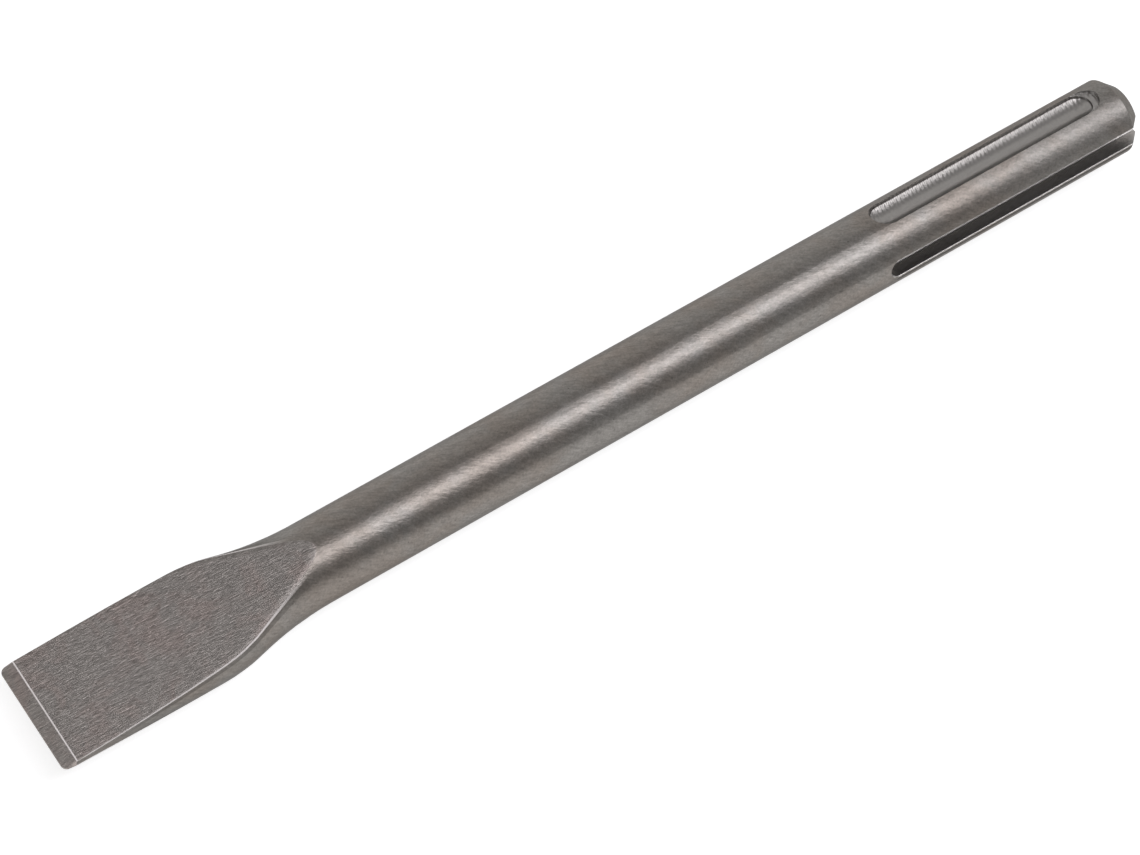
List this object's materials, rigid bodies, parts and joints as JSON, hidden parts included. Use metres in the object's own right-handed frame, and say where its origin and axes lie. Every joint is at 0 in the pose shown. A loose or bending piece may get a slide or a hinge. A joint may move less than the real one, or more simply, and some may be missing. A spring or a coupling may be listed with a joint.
{
  "type": "sds chisel",
  "caption": "Flat chisel bit for a rotary hammer: round grooved shank and shaft that flares into a wide ground wedge blade with a bevelled cutting edge.",
  "frame": {"origin": "centre of the strike face, the flat end of the shank, on the tool's axis", "axes": "+X along the axis out of the shank end, so the cutting edge is at x = -0.28 m; +Z is the normal of the upper ground blade face; +Y follows, across the blade's width"},
  "size_m": [0.28, 0.025, 0.018],
  "materials": {
    "tool_steel": "blasted satin steel on the shaft and shank, lengthwise ground steel on the two blade faces and the bevels"
  },
  "bodies": {
    "root": {"chisel": "tool_steel"}
  },
  "joints": []
}
